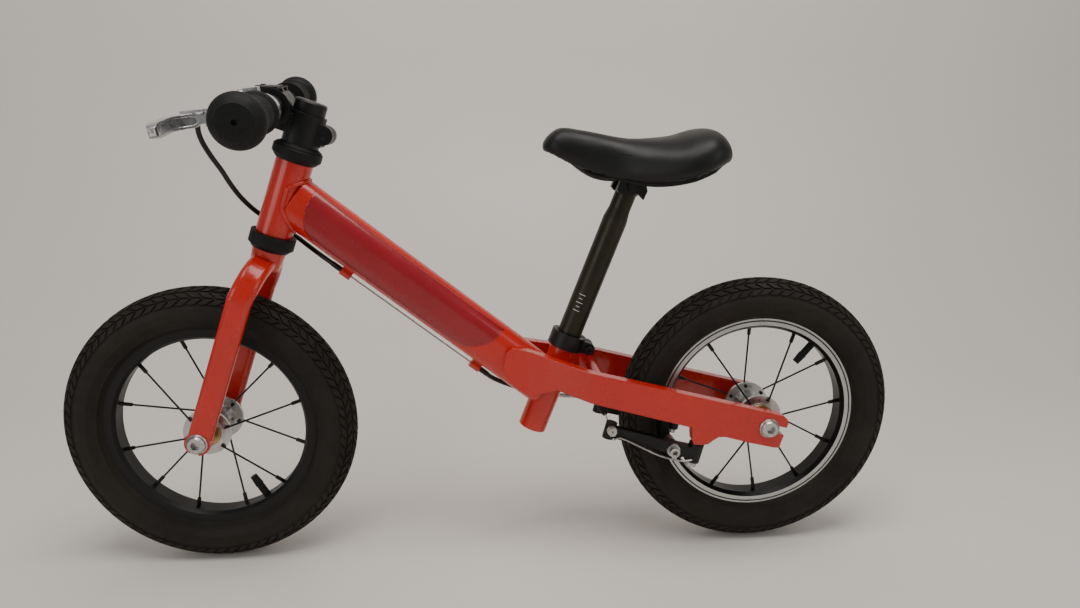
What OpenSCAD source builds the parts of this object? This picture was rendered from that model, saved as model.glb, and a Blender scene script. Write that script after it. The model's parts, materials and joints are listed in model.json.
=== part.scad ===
// Balance bike with 12 inch wheels, one hand lever and a rear rim brake.
// +Z is up, the front points to -X and the left side to -Y. The origin is on
// the ground, midway between the axles. Sizes are in millimetres.

/* [Wheels] */
// Distance between the two axles
wheelbase = 580; // [570:1:590]
// Outer diameter of the tyres
tyre_od = 298; // [296:1:300]
// Width of the tyre section
tyre_w = 46; // [44:1:47]
// Outer diameter of the rim flanges
rim_od = 217; // [216:1:218]
// Width of the rim across its flanges
rim_w = 25; // [24:1:26]
// Spokes in each wheel, shared between the two flanges
spoke_count = 12; // [8:2:16]
// Angle of the first spoke in the front wheel
front_spoke_turn = 15; // [0:1:29]
// Angle of the first spoke in the rear wheel
rear_spoke_turn = 5; // [0:1:29]
// Angle of the valve in the front wheel
front_valve_turn = 300; // [295:1:305]
// Angle of the valve in the rear wheel
rear_valve_turn = 50; // [45:1:55]

/* [Frame] */
// Backward lean of the steering axis from upright
head_lean = 19.9; // [19:0.1:21]
// Outer diameter of the head tube
head_od = 36.4; // [36:0.1:38]
// Downward slope of the main tube
main_slope = 38.3; // [38:0.1:39]
// Height of the main tube section
main_h = 50.5; // [48:0.5:52]
// Width of the main tube section
main_w = 36; // [34:1:36]
// Wall of the main tube
main_wall = 2; // [1.5:0.5:3]
// Backward lean of the seat tube from upright
seat_lean = 21; // [20.5:0.1:21.5]
// Outer diameter of the seat tube
seat_od = 30; // [29.5:0.1:31]
// Diameter of the seat post
post_d = 25.4; // [25:0.1:26]
// Gap between the inner faces of the rear dropouts
rear_gap = 84; // [82:1:86]
// Thickness of each chainstay
stay_t = 12; // [10:1:13]
// Downward slope of the chainstays
stay_slope = 14.5; // [14:0.1:15]

/* [Fork] */
// Diameter of the steerer
steerer_d = 28.6; // [28:0.1:28.8]
// Gap between the inner faces of the fork legs
fork_gap = 80; // [78:1:82]
// Thickness of each fork leg
leg_t = 12; // [10:1:13]
// Width of each fork leg seen from the side
leg_w = 24; // [22:1:26]

/* [Handlebar] */
// Overall width across the grips
bar_w = 370; // [350:1:390]
// Diameter of the handlebar
bar_d = 22.2; // [22:0.1:22.4]
// Turn of the handlebar in the stem, away from square to the wheel
bar_turn = 6.3; // [0:0.1:8]
// Tilt of the handlebar, left end down
bar_tilt = 2.2; // [0:0.1:4]
// Downward roll of the brake lever about the bar
lever_roll = 27; // [20:1:35]
// Diameter of the rounded grip ends
grip_end_d = 44; // [40:1:46]

/* [Brake] */
// Distance from the centre plane to each brake boss
boss_y = 45; // [44:1:47]
// Gap between a brake pad and the rim at rest
pad_gap = 1.8; // [1.6:0.1:3]
// Diameter of the cable housing
housing_d = 5; // [4:0.5:5]

/* [Saddle] */
// Width of the saddle at the tail
saddle_w = 114; // [106:1:118]

/* [Hidden] */
$fn = 48;

// Running clearance of a shaft in its bore, and the gap between faces that
// only pass each other
run = 0.05;
air = 0.3;

// Wheel places and radii
tyre_r = tyre_od / 2;
front_x = -wheelbase / 2;
rear_x = wheelbase / 2;
section_r = tyre_w / 2;
section_c = tyre_r - section_r;
rim_r = rim_od / 2;
rim_floor = rim_r - 12.5;
tube_cavity = section_r - 4.5;
flange_r = 24;
flange_y = 22.5;
flange_t = 3;
spoke_circle = 20;
axle_r = 4;
bearing_r = 11;
bearing_w = 7;

// Steering axis: this point is on it, at the lower end of the lower cup
head_x = -214.4;
head_z = 344;
cup_low = 7;
cup_high = 83;
cup_r = 22.5;
bearing_pocket = 20;
steerer_r = steerer_d / 2;
leg_y = fork_gap / 2 + leg_t / 2;
bend_t = leg_t + 0.4;
leg_u = -4.6;
axle_w = -209.1;
crown_r = 36;

// Main tube: its centre line starts on the steering axis
main_x = -190;
main_z = 384;
cable_drop = -main_h / 2 - 4.75;
stop_1 = 83;
stop_2 = 247;
stop_len = 12;

// Seat tube: this point is the centre of its open lower end
seat_x = 45.9;
seat_z = 137;
seat_len = 106;
post_r = post_d / 2;
post_low = 30;
post_neck = 240;
head_w = 278;

// Handlebar centre in the steering axis frame
bar_u = -33;
bar_h = 126.5;
bar_r = bar_d / 2;
clamp_r = 12.7;
grip_in = 92;
lever_y = -63;

// Brake bosses
boss_x = 214;
boss_z = 121;
boss_r = 4;
arm_len = 92;
cable_z = 4;
stud_x = -25;

// Side outline of a chainstay, from the front of its top edge round to the
// dropout and back under the brake tab
stay_outline = [
    [24, 233], [46, 228], [68, 222], [304, 162], [309, 158], [310, 153],
    [302, 126.5], [296, 127], [267, 134], [244, 140.5], [237, 140.5],
    [231, 137], [226, 133], [219, 132.2], [211, 133], [209, 138],
    [208, 152], [70, 190.5], [58, 186], [44, 181], [32, 186], [20, 197],
    [15, 213], [18, 227]
];
// Side outline of the hollow inside a chainstay
stay_core = [[72, 218], [180, 190.5], [262, 169.5], [262, 142], [206, 155], [150, 172],
    [110, 184], [76, 196]];
// Plan outline of a chainstay as [x, distance of its inner face from the
// centre plane]
stay_plan = [[12, 12], [40, 14], [62, 22], [84, 33], [102, rear_gap / 2 - 0.8],
    [118, rear_gap / 2], [320, rear_gap / 2]];

// Control points of the saddle's outlines: top, underside and half plan
saddle_top = [[56, 432], [60, 443], [77, 453], [105, 448.5], [150, 441.5],
    [185, 444], [215, 451.5], [232, 449], [243, 436], [247, 424]];
saddle_low = [[247, 424], [233, 415], [208, 403.5], [180, 396.5], [150, 396.5],
    [115, 406], [80, 420.5], [56, 432]];
saddle_plan = [[56, 0], [58, 12], [68, 20], [100, 22.5], [135, 30],
    [170, 46], [200, 56.5], [226, 52], [242, 34], [247.5, 14], [248, 0]];

// Steering frame: children() stand on the steering axis at height w
module at_head(w = 0, u = 0) {
    translate([head_x, 0, head_z])
        rotate([0, head_lean, 0])
            translate([u, 0, w])
                children();
}

// Main tube frame: x runs down the tube, z points out of its top
module at_main(t = 0, h = 0) {
    translate([main_x, 0, main_z])
        rotate([0, main_slope, 0])
            translate([t, 0, h])
                children();
}

// Seat tube frame: z runs up the tube from its lower end
module at_seat(w = 0) {
    translate([seat_x, 0, seat_z])
        rotate([0, seat_lean, 0])
            translate([0, 0, w])
                children();
}

// Handlebar frame: y runs along the bar, -x points forward
module at_bar() {
    at_head(bar_h, bar_u)
        rotate([bar_tilt, 0, bar_turn])
            children();
}

// Lever frame: as the bar's, rolled about the bar
module at_lever() {
    at_bar()
        rotate([0, -lever_roll, 0])
            children();
}

// Brake arm frame of the left boss: -x runs forward along the arm
module at_boss() {
    translate([boss_x, -boss_y, boss_z])
        rotate([0, stay_slope, 0])
            children();
}

// Wheel frame: the axle is on y, and angles count from +x towards +z
module at_wheel(x) {
    translate([x, 0, tyre_r])
        children();
}

module at_angle(a) {
    rotate([0, -a, 0])
        children();
}

// A shape and its mirror image across the centre plane
module both_sides() {
    children();
    mirror([0, 1, 0])
        children();
}

// A cylinder along y from y1 to y2
module bar_y(r, y1, y2) {
    translate([0, y1, 0])
        rotate([-90, 0, 0])
            cylinder(r = r, h = y2 - y1);
}

// Revolves a half section of [radius, y] points about the y axis
module revolve_y(points) {
    rotate([-90, 0, 0])
        rotate_extrude($fn = 96)
            polygon(points);
}

// The points of a half section and their mirror image, as one outline
function both_ends(p) = concat(p, [for (i = [len(p) - 1 : -1 : 0]) [p[i][0], -p[i][1]]]);

module ring(r_out, r_in, h) {
    difference() {
        cylinder(r = r_out, h = h);
        translate([0, 0, -1])
            cylinder(r = r_in, h = h + 2);
    }
}

// A flat bar along z with round edges: size is [x width, y thickness]
module flat_bar(size, h) {
    linear_extrude(h) {
        square([size[0] - size[1], size[1]], center = true);
        for (s = [-1, 1])
            translate([s * (size[0] - size[1]) / 2, 0])
                circle(d = size[1]);
    }
}

// Point i of a list, with the ends repeated
function hold(p, i) = p[max(0, min(len(p) - 1, i))];

// A smooth curve through the points of p, with n steps between two points
function curve(p, n) = concat([
    for (i = [0 : len(p) - 2], k = [0 : n - 1])
        let (
            t = k / n,
            a = hold(p, i - 1),
            b = p[i],
            c = p[i + 1],
            d = hold(p, i + 2)
        )
        0.5 * (2 * b + (c - a) * t + (2 * a - 5 * b + 4 * c - d) * t * t
            + (3 * b - a - 3 * c + d) * t * t * t)
], [p[len(p) - 1]]);

function unit(v) = v / norm(v);

// Direction of travel at point i of a path
function heading(p, i) = unit(hold(p, i + 1) - hold(p, i - 1));

// Turns direction n with the path, so that it stays square to heading t
function carried(n, t) = unit(n - (n * t) * t);

// A round cord along path p
module cord(p, r, sides) {
    count = len(p);
    side = [for (i = 0, n = carried([0.1, 1, 0.2], heading(p, 0)); i < count;
        i = i + 1, n = carried(n, heading(p, min(i, count - 1)))) n];
    rings = [for (i = [0 : count - 1], k = [0 : sides - 1])
        let (a = 360 * k / sides)
        p[i] + r * (cos(a) * side[i] + sin(a) * cross(heading(p, i), side[i]))];
    walls = [for (i = [0 : count - 2], k = [0 : sides - 1])
        let (m = (k + 1) % sides)
        [i * sides + k, (i + 1) * sides + k, (i + 1) * sides + m, i * sides + m]];
    ends = [[for (k = [0 : sides - 1]) k],
        [for (k = [sides - 1 : -1 : 0]) (count - 1) * sides + k]];
    polyhedron(rings, concat(walls, ends), convexity = 6);
}

// Turned copies of a point about the three axes
function turn_x(v, a) = [v[0], v[1] * cos(a) - v[2] * sin(a), v[1] * sin(a) + v[2] * cos(a)];
function turn_y(v, a) = [v[0] * cos(a) + v[2] * sin(a), v[1], v[2] * cos(a) - v[0] * sin(a)];
function turn_z(v, a) = [v[0] * cos(a) - v[1] * sin(a), v[0] * sin(a) + v[1] * cos(a), v[2]];

// World place of a point given in the lever frame, or on the main tube
function lever_point(v) = [head_x, 0, head_z]
    + turn_y([bar_u, 0, bar_h] + turn_z(turn_x(turn_y(v, -lever_roll), bar_tilt), bar_turn),
        head_lean);
function main_point(t) = [main_x, 0, main_z] + turn_y([t, 0, cable_drop], main_slope);

// Routes of the two lengths of cable housing
front_route = concat(
    [lever_point([-44.4, lever_y + 17.4, 0]), lever_point([-50, lever_y + 23, 0.5])],
    [[-262, -31, 464], [-267, -25, 454], [-266, -21, 442], [-260, -18, 428],
        [-253, -13, 414], [-248, -4, 399], [-242, 6, 385], [-233, 15, 372],
        [-222, 23, 361], [-209, 27, 351], [-196, 25, 343], [-182, 17, 334],
        [-168, 7, 326]],
    [main_point(stop_1 - stop_len / 2 - 7), main_point(stop_1 - stop_len / 2 - 0.5)]
);
rear_route = concat(
    [main_point(stop_2 + stop_len / 2 + 0.5), main_point(stop_2 + stop_len / 2 + 7)],
    [[4, 5, 191], [20, 15, 180], [36, 27, 170], [52, 38, 161.5], [66, 46, 156],
        [76, 49.7, 153.3]]
);
// Route of the curved metal guide that turns the cable across the tyre
noodle_end = [boss_x, 0, boss_z] + turn_y([-arm_len, 0, cable_z], stay_slope);
noodle_route = concat(
    [[77, 50, 153], [84, 51.5, 151.5], [97, 54, 149.5], [109, 55, 148.5], [118, 53.5, 148]],
    [noodle_end + [-2, 49, 0], noodle_end + [0, 43, 0], noodle_end + [0, 37, 0],
        noodle_end + [0, 30, 0]]
);

// ---- Frame ----

module main_section(less) {
    r = main_w / 2;
    square([main_h - main_w, main_w - 2 * less], center = true);
    for (s = [-1, 1])
        translate([s * (main_h / 2 - r), 0])
            circle(r = r - less, $fn = 64);
}

module main_solid(less, from, to) {
    at_main(from)
        rotate([0, 90, 0])
            linear_extrude(to - from)
                main_section(less);
}

module head_tube() {
    color("orangered")
        at_head(cup_low)
            ring(head_od / 2, head_od / 2 - 1.7, cup_high - cup_low);
}

module main_tube() {
    color("orangered") {
        difference() {
            main_solid(0, 0, 320);
            main_solid(main_wall, -1, 321);
            at_head(-60)
                cylinder(r = head_od / 2, h = 220);
            at_head(-60)
                translate([-200, -60, 0])
                    cube([200, 120, 260]);
            at_seat(-60)
                cylinder(r = seat_od / 2, h = 220);
            at_seat(-60)
                translate([0, -60, 0])
                    cube([200, 120, 260]);
        }
        for (t = [stop_1, stop_2])
            cable_stop(t);
    }
}

// A drilled stop that holds the end of the cable housing
module cable_stop(t) {
    difference() {
        at_main(t - stop_len / 2, cable_drop) {
            rotate([0, 90, 0])
                cylinder(r = 4.6, h = stop_len);
            translate([0, -3, 0])
                cube([stop_len, 6, 6.5]);
        }
        at_main(t - stop_len, cable_drop)
            rotate([0, 90, 0])
                cylinder(r = 1.2, h = 2 * stop_len);
        main_solid(0, t - 20, t + 20);
    }
}

module seat_tube() {
    color("orangered")
        difference() {
            at_seat()
                ring(seat_od / 2, post_r + run, seat_len);
            at_seat(seat_len - 34)
                translate([0, -1, 0])
                    cube([seat_od, 2, 40]);
        }
}

// The plan of a chainstay, extruded upwards
module stay_block(wall = 0) {
    inner = [for (p = stay_plan) [p[0], -p[1] - wall]];
    outer = [for (i = [len(stay_plan) - 1 : -1 : 0])
        [stay_plan[i][0], -stay_plan[i][1] - stay_t + wall]];
    linear_extrude(300)
        polygon(concat(inner, outer));
}

module chainstay() {
    difference() {
        union() {
            intersection() {
                translate([0, 60, 0])
                    rotate([90, 0, 0])
                        linear_extrude(160)
                            polygon(stay_outline);
                stay_block();
            }
            at_boss()
                translate([0, 0, 10.6])
                    cylinder(r = 6, h = 14);
            at_boss()
                translate([0, 0, -11])
                    cylinder(r = boss_r, h = 24);
        }
        // Hollow inside
        intersection() {
            translate([0, 60, 0])
                rotate([90, 0, 0])
                    linear_extrude(160)
                        polygon(stay_core);
            stay_block(1.8);
        }
        at_boss()
            translate([0, 0, -12])
                cylinder(r = 2.5, h = 17);
        main_solid(0, 200, 330);
        at_seat(-20)
            cylinder(r = seat_od / 2, h = 160);
        // Axle slot, open to the rear
        at_wheel(rear_x)
            rotate([0, stay_slope, 0]) {
                bar_y(axle_r + 0.3, -80, 0);
                translate([0, -80, -axle_r - 0.3])
                    cube([60, 80, 2 * axle_r + 0.6]);
            }
    }
}

module chainstay_left() {
    color("orangered")
        chainstay();
}

module chainstay_right() {
    color("orangered")
        mirror([0, 1, 0])
            chainstay();
}

module stay_bridge() {
    reach = rear_gap / 2 + 1;
    color("orangered")
        difference() {
            translate([114, 0, 195])
                bar_y(7, -reach, reach);
            translate([114, 0, 195])
                bar_y(5.5, -reach - 1, reach + 1);
            both_sides()
                stay_block();
        }
}

// ---- Headset ----

module headset_cups() {
    color("black") {
        // Lower cup
        at_head(-5)
            difference() {
                union() {
                    cylinder(r = cup_r, h = cup_low + 5);
                    cylinder(r = head_od / 2 - 1.7, h = cup_low + 15);
                }
                translate([0, 0, -1])
                    cylinder(r = bearing_pocket, h = 9);
                translate([0, 0, -1])
                    cylinder(r = 15.4, h = 40);
            }
        // Upper cup, flared from the tube's diameter
        at_head(cup_high - 10)
            rotate_extrude($fn = 72)
                polygon([
                    [15.4, 0], [head_od / 2 - 1.7, 0], [head_od / 2 - 1.7, 10],
                    [19.5, 10], [24, 15], [24, 22], [23.2, 23],
                    [bearing_pocket, 23], [bearing_pocket, 15], [15.4, 15]
                ]);
    }
}

module headset_bearings() {
    color("silver")
        for (w = [-5, cup_high + 5])
            at_head(w)
                ring(bearing_pocket, steerer_r + 0.9, 7.5);
}

// Race on the fork crown and the cover under the stem, which turn with the fork
module headset_races() {
    color("black") {
        at_head(-9)
            difference() {
                union() {
                    cylinder(r1 = 18.5, r2 = 21.5, h = 4 - air);
                    cylinder(r = steerer_r + 0.8, h = 9);
                }
                translate([0, 0, -1])
                    cylinder(r = steerer_r, h = 12);
            }
        at_head(cup_high + 13 + air)
            rotate_extrude($fn = 72)
                polygon([
                    [steerer_r, -6], [steerer_r + 0.8, -6], [steerer_r + 0.8, 0],
                    [22.5, 0], [22.5, 0.8], [18, 3.5], [steerer_r, 3.5]
                ]);
    }
}

// ---- Fork ----

module fork_leg() {
    // Straight leg, down to its round end
    translate([leg_u, -leg_y, axle_w]) {
        flat_bar([leg_w, leg_t], -axle_w - crown_r - 17);
        bar_y(leg_w / 2 + 0.6, -leg_t / 2, leg_t / 2);
    }
    // Quarter bend from the leg up to the crown
    translate([leg_u, 0, -crown_r - 22])
        rotate([0, 7, 0])
            translate([0, -leg_y + crown_r, 0])
                rotate([0, -90, 180])
                    rotate_extrude(angle = 90, $fn = 72)
                        translate([crown_r, 0])
                            rotate(90) {
                                square([leg_w - leg_t, bend_t], center = true);
                                for (s = [-1, 1])
                                    translate([s * (leg_w - leg_t) / 2, 0])
                                        circle(d = bend_t, $fn = 32);
                            }
}

module fork() {
    color("orangered")
        difference() {
            union() {
                at_head() {
                    both_sides()
                        fork_leg();
                    translate([0, -leg_y + crown_r, -22])
                        rotate([-90, 0, 0])
                            cylinder(r = 10, h = 2 * (leg_y - crown_r));
                    translate([0, 0, -29])
                        cylinder(r1 = 14.5, r2 = 17, h = 20);
                    translate([0, 0, -20])
                        cylinder(r = steerer_r, h = 148);
                }
            }
            at_head(-5)
                cylinder(r = steerer_r - 2.5, h = 150);
            // Hollow inside each leg
            both_sides()
                at_head(axle_w + 22, leg_u)
                    translate([0, -leg_y, 0])
                        flat_bar([leg_w - 3.6, leg_t - 3.6], 118);
            // Axle slots, open downwards
            at_wheel(front_x)
                rotate([0, head_lean, 0]) {
                    bar_y(axle_r + 0.3, -80, 80);
                    translate([-axle_r - 0.3, -80, -40])
                        cube([2 * axle_r + 0.6, 160, 40]);
                }
        }
}

// ---- Axles ----

module axle(gap, wall) {
    difference() {
        union() {
            bar_y(axle_r, -gap / 2 - wall + 4, gap / 2 + wall - 4);
            both_sides()
                bar_y(6.5, -gap / 2, -flange_y - 1 - air);
        }
        both_sides()
            bar_y(3, -gap / 2 - wall, -gap / 2 + 10);
    }
}

// Flanged bolt with a domed head and a hex socket, at the left end of an axle
module axle_bolt(gap, wall) {
    face = gap / 2 + wall;
    difference() {
        union() {
            mirror([0, 1, 0])
                revolve_y([
                    [0, face], [10.5, face], [10.5, face + 1.2], [9.4, face + 2.2],
                    [9, face + 4], [7.6, face + 5.6], [0, face + 5.6]
                ]);
            bar_y(3, -face - 1, -gap / 2 + 8);
        }
        translate([0, -face - 1.2, 0])
            rotate([90, 0, 0])
                cylinder(r = 4.6, h = 10, $fn = 6);
    }
}

module front_axle() {
    color("silver")
        at_wheel(front_x)
            axle(fork_gap, leg_t);
}

module front_axle_bolts() {
    color("silver")
        at_wheel(front_x)
            both_sides()
                axle_bolt(fork_gap, leg_t);
}

module rear_axle() {
    color("silver")
        at_wheel(rear_x)
            axle(rear_gap, stay_t);
}

module rear_axle_bolts() {
    color("silver")
        at_wheel(rear_x)
            both_sides()
                axle_bolt(rear_gap, stay_t);
}

// ---- Stem and handlebar ----

module stem() {
    color("black")
        difference() {
            union() {
                at_head(100)
                    cylinder(r = 18, h = 31);
                // Pinch boss behind the steerer
                at_head(116, 20)
                    bar_y(9.5, -12, 12);
                at_head(104, 0)
                    translate([0, -12, 0])
                        cube([21, 24, 21.5]);
                // Neck and the rear half of the bar clamp
                at_head(108, -32)
                    translate([0, -15, 0])
                        cube([32, 30, 19]);
                at_bar() {
                    bar_y(18, -21, 21);
                    rotate([0, -20, 0])
                        translate([-1, -20, -19])
                            cube([8, 40, 38]);
                }
            }
            at_head(90)
                cylinder(r = steerer_r + 0.01, h = 60);
            at_head(95)
                translate([0, -1, 0])
                    cube([40, 2, 40]);
            at_head(116, 21)
                bar_y(2.6, -20, 20);
            at_bar()
                bar_y(clamp_r + 0.02, -40, 40);
            // Faceplate half
            at_bar()
                rotate([0, -20, 0])
                    translate([-60, -40, -60])
                        cube([59, 80, 120]);
            face_bolt_holes(2.55);
        }
}

// Places of the four faceplate bolts
module at_face_bolts() {
    at_bar()
        rotate([0, -20, 0])
            for (y = [-14, 14], z = [-15.9, 15.9])
                translate([0, y, z])
                    rotate([0, -90, 0])
                        children();
}

module face_bolt_holes(r) {
    at_face_bolts()
        translate([0, 0, -16])
            cylinder(r = r, h = 60);
}

module stem_faceplate() {
    color("black")
        difference() {
            at_bar()
                intersection() {
                    union() {
                        bar_y(18, -21, 21);
                        rotate([0, -20, 0])
                            translate([-8, -20, -19])
                                cube([7, 40, 38]);
                    }
                    rotate([0, -20, 0])
                        translate([-60, -40, -60])
                            cube([58.6, 80, 120]);
                }
            at_bar()
                bar_y(clamp_r + 0.02, -40, 40);
            face_bolt_holes(2.7);
            // Seats of the bolt heads
            at_face_bolts()
                translate([0, 0, 8])
                    cylinder(r = 4.5, h = 20);
        }
}

module stem_bolts() {
    color("dimgray") {
        at_face_bolts() {
            translate([0, 0, -12])
                cylinder(r = 2.5, h = 20);
            translate([0, 0, 8 + 0.01])
                socket_head(4.2, 4.5);
        }
        at_head(116, 21)
            difference() {
                bar_y(2.5, -12, 12);
                translate([0, -11, 0])
                    rotate([90, 0, 0])
                        cylinder(r = 1.6, h = 3, $fn = 6);
            }
    }
}

// Cap screw head standing on z = 0, with a hex socket
module socket_head(r, h) {
    difference() {
        cylinder(r = r, h = h);
        translate([0, 0, h - 2.5])
            cylinder(r = r * 0.55, h = 3, $fn = 6);
    }
}

module top_cap() {
    color("black")
        at_head(131)
            difference() {
                union() {
                    cylinder(r = 15.5, h = 10.5);
                    translate([0, 0, 10.5])
                        cylinder(r1 = 15.5, r2 = 14, h = 1.5);
                    translate([0, 0, -12])
                        cylinder(r = steerer_r - 2.6, h = 13);
                }
                translate([0, 0, 8])
                    cylinder(r = 3, h = 10, $fn = 6);
            }
}

module handlebar() {
    reach = bar_w / 2 - 5;
    color("black")
        at_bar()
            difference() {
                union() {
                    bar_y(bar_r, -reach, reach);
                    bar_y(clamp_r, -25, 25);
                    both_sides()
                        translate([0, -25, 0])
                            rotate([90, 0, 0])
                                cylinder(r1 = clamp_r, r2 = bar_r, h = 5);
                }
                bar_y(bar_r - 2, -reach - 1, reach + 1);
            }
}

// Grip with a round end that guards the hand
module grip() {
    out = bar_w / 2;
    end_r = grip_end_d / 2;
    bulb = end_r * 0.62;
    at_bar()
        difference() {
            union() {
                bar_y(18.5, -grip_in - 4, -grip_in);
                bar_y(15.6, -out + 10, -grip_in - 2);
                translate([0, -out + bulb, 0])
                    rotate([90, 0, 0])
                        rotate_extrude($fn = 72)
                            intersection() {
                                union() {
                                    translate([end_r - bulb, 0])
                                        circle(r = bulb, $fn = 48);
                                    translate([0, -bulb])
                                        square([end_r - bulb, 2 * bulb]);
                                }
                                translate([0, -bulb])
                                    square([end_r, 2 * bulb]);
                            }
            }
            bar_y(bar_r + 0.06, -out + 5, 0);
            bar_y(1.6, -out - 1, -out + 6);
        }
}

module grip_left() {
    color([0.06, 0.06, 0.06])
        grip();
}

// The right grip, on the far end of the same bar
module grip_right() {
    color([0.06, 0.06, 0.06])
        at_bar()
            mirror([0, 1, 0])
                from_bar()
                    grip();
}

// Undoes at_bar(), so that a part placed on the bar can be mirrored
module from_bar() {
    rotate([0, 0, -bar_turn])
        rotate([-bar_tilt, 0, 0])
            translate([-bar_u, 0, -bar_h])
                rotate([0, -head_lean, 0])
                    translate([-head_x, 0, -head_z])
                        children();
}

// ---- Brake lever ----

pivot_f = 30;
pivot_y = lever_y - 17;

module lever_body() {
    color("silver")
        at_lever()
            difference() {
                union() {
                    // Clamp band and its ears above the bar
                    bar_y(bar_r + 4, lever_y - 6, lever_y + 6);
                    translate([-12, lever_y - 6, 8])
                        cube([13, 12, 13]);
                    // Arm that carries the pivot and the cable adjuster
                    translate([-pivot_f - 9, pivot_y - 7, -6.5])
                        cube([25, 30, 13]);
                    translate([-pivot_f - 9, pivot_y, -6.5])
                        cylinder(r = 7, h = 13);
                    // Hood over the root of the blade
                    translate([0, 0, 6.3])
                        linear_extrude(2.3)
                            polygon([
                                [-35, pivot_y + 16], [-35, pivot_y - 6.8],
                                [-47, pivot_y - 7.5], [-61, pivot_y - 6],
                                [-65, pivot_y + 1], [-59, pivot_y + 9],
                                [-40, pivot_y + 16]
                            ]);
                    translate([-19, lever_y - 6, -6.5])
                        cube([14, 12, 13]);
                    translate([-pivot_f - 4, lever_y + 7, 0])
                        rotate([0, -90, -45])
                            cylinder(r = 5.4, h = 6);
                }
                bar_y(bar_r, lever_y - 20, lever_y + 20);
                // Slot for the blade
                translate([-90, pivot_y - 30, -4])
                    cube([90 - pivot_f + 12, 43, 8]);
                translate([-pivot_f, pivot_y, -10])
                    cylinder(r = 2.5, h = 20);
                // Split between the ears and the bolt hole through them
                translate([-6.5, lever_y - 8, 5])
                    cube([2, 16, 20]);
                translate([-20, lever_y, 16])
                    rotate([0, 90, 0])
                        cylinder(r = 2.2, h = 30);
                translate([-pivot_f - 4, lever_y + 7, 0])
                    rotate([0, -90, -45])
                        translate([0, 0, -2])
                            cylinder(r = 3.2, h = 12);
            }
}

module lever_bolts() {
    color("gray")
        at_lever() {
            translate([-pivot_f, pivot_y, -7.3])
                cylinder(r = 2.5 - run, h = 14.6);
            for (z = [-8.3, 6.5 + 0.01])
                translate([-pivot_f, pivot_y, z])
                    cylinder(r = 4, h = 1.8);
            translate([-12, lever_y, 16])
                rotate([0, 90, 0])
                    cylinder(r = 2.15, h = 12.9);
            translate([-12 - 0.01, lever_y, 16])
                rotate([0, -90, 0])
                    socket_head(4.2, 5);
        }
}

module cable_adjuster() {
    color("silver")
        at_lever()
            translate([-pivot_f - 4, lever_y + 7, 0])
                rotate([0, -90, -45])
                    difference() {
                        union() {
                            cylinder(r = 3.2, h = 8);
                            translate([0, 0, 6.1])
                                cylinder(r = 5, h = 5);
                            translate([0, 0, 6.1])
                                cylinder(r = 4, h = 8.1);
                        }
                        translate([0, 0, -1])
                            cylinder(r = 1.2, h = 20);
                    }
}

// Blade: a curved bar that leaves the pivot forwards and then follows the bar
blade_line = [[-pivot_f, pivot_y], [-52, pivot_y - 3], [-66, pivot_y - 12],
    [-69, pivot_y - 28], [-66, pivot_y - 58], [-62, pivot_y - 90]];

// A plan line moved sideways by d
function beside(p, d) = [for (i = [0 : len(p) - 1])
    let (h = heading(p, i)) p[i] + d * [-h[1], h[0]]];

// The strip of plan between two lines
function strip(p, q) = concat(p, [for (i = [len(q) - 1 : -1 : 0]) q[i]]);

// Half heights of the blade and of its recess, along y at the tip as [y, z]
// and along x at the root as [x, z]
blade_tip = [[-70, 6], [-160, 6], [-166, 5.6], [-170, 4.6], [-172.5, 3], [-174, 0]];
blade_root = [[-100, 6], [-53, 6], [-48, 3.7], [-20, 3.7]];
recess_tip = [[-70, 3.8], [-156, 3.8], [-161, 2.8], [-163.5, 0]];
recess_root = [[-100, 3.8], [-55, 3.8], [-51, 2.6], [-49, 0]];

// Outline with the half heights of side above and below
module both_heights(side) {
    polygon(concat(side, [for (i = [len(side) - 1 : -1 : 0])
        if (side[i][1] > 0) [side[i][0], -side[i][1]]]));
}

// What lies inside both outlines, tip along y and root along x
module blade_limits(tip, root) {
    intersection() {
        translate([-100, 0, 0])
            rotate([90, 0, 90])
                linear_extrude(110)
                    both_heights(tip);
        translate([0, -60, 0])
            rotate([90, 0, 0])
                linear_extrude(140)
                    both_heights(root);
    }
}

module lever_blade() {
    line = curve(blade_line, 4);
    color("silver")
        at_lever()
            difference() {
                union() {
                    translate([-pivot_f, pivot_y, -3.7])
                        cylinder(r = 6.5, h = 7.4);
                    intersection() {
                        union() {
                            translate([0, 0, -8])
                                linear_extrude(16)
                                    polygon(strip(beside(line, 3.6), beside(line, -3.6)));
                            translate([line[20][0], line[20][1], -8])
                                cylinder(r = 3.6, h = 16, $fn = 24);
                        }
                        blade_limits(blade_tip, blade_root);
                    }
                }
                translate([-pivot_f, pivot_y, -10])
                    cylinder(r = 2.5, h = 20);
                // Long recess along the face towards the bar
                intersection() {
                    translate([0, 0, -8])
                        linear_extrude(16)
                            polygon(strip(beside(line, 5), beside(line, 2.2)));
                    blade_limits(recess_tip, recess_root);
                }
            }
}

// ---- Cable ----

module housing_front() {
    color("black")
        cord(curve(front_route, 3), housing_d / 2, 10);
}

module housing_rear() {
    color("black")
        cord(curve(rear_route, 3), housing_d / 2, 10);
}

module noodle() {
    color("silver")
        cord(curve(noodle_route, 3), 2.5, 10);
}

module noodle_boot() {
    color("black")
        translate(noodle_end)
            revolve_y([
                [1.1, 2], [3, 2], [3.6, 5], [3, 7], [4.2, 10], [3.4, 12], [4.6, 15],
                [3.8, 17], [5, 20], [4.2, 22], [5.2, 26], [4.4, 29.5], [1.1, 29.5]
            ]);
}

module inner_cable() {
    color("gray")
        at_main(stop_1 + stop_len / 2, cable_drop)
            rotate([0, 90, 0])
                cylinder(r = 0.9, h = stop_2 - stop_1 - stop_len, $fn = 16);
}

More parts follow.
